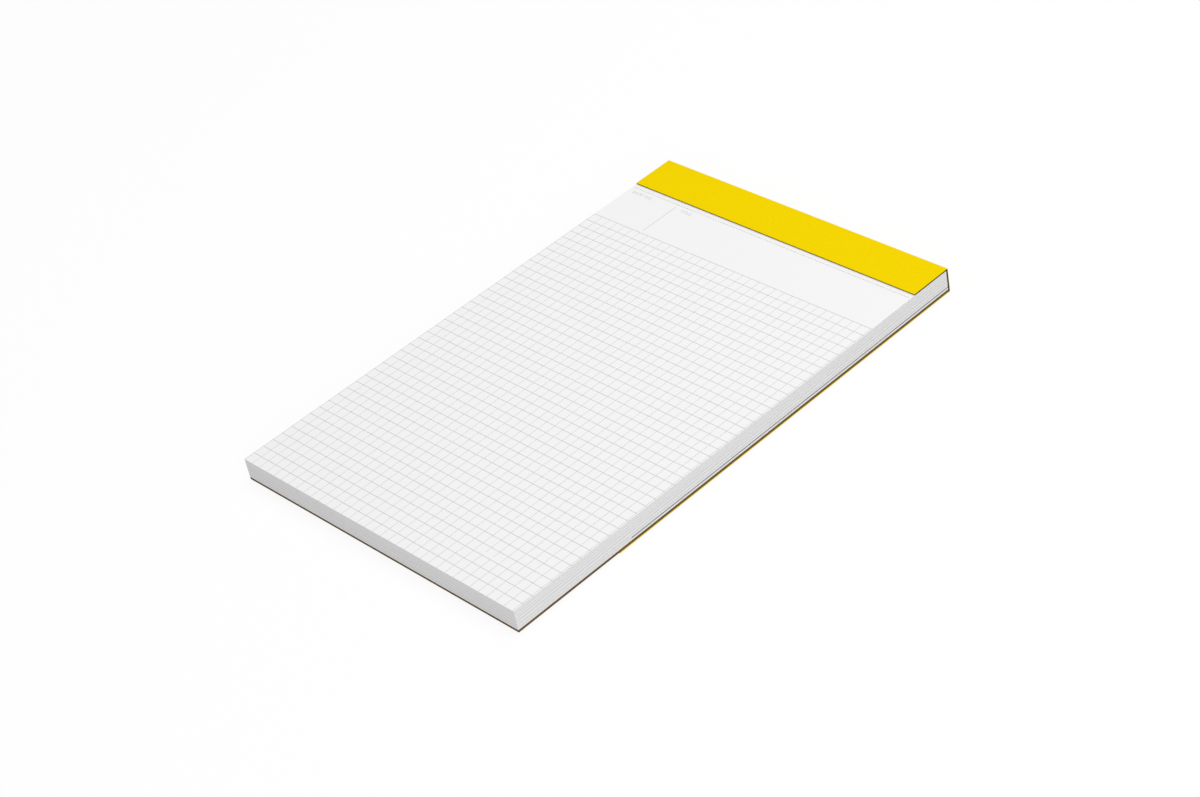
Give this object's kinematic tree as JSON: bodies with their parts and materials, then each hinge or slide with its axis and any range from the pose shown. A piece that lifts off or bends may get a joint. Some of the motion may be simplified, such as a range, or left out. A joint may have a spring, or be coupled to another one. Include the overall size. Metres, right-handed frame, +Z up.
{
  "type": "grid notepad",
  "caption": "Top-bound tear-off notepad with squared sheets, a header band, a yellow card folded round its head and a chipboard back.",
  "frame": {"origin": "centre of the pad's outline, on the surface that it lies on", "axes": "+X to the right across the sheets, +Y along the sheets towards the bound head, +Z up out of the writing face"},
  "size_m": [0.182, 0.2836, 0.0132],
  "materials": {
    "cover_card": "matt yellow card with a fine mottle",
    "lining": "matt dark grey-brown card",
    "paper": "smooth uncoated white writing paper",
    "chipboard": "brown pressed chipboard with open cut edges",
    "glue": "dried brown padding glue",
    "ink": "pale grey printed ink"
  },
  "bodies": {
    "root": {"cover_card": "cover_card", "cover_lining": "lining", "page_block": "paper", "last_sheets": "paper", "backing_board": "chipboard", "head_glue": "glue", "ruling_down": "ink", "ruling_across": "ink", "header_divider": "ink"}
  },
  "joints": []
}
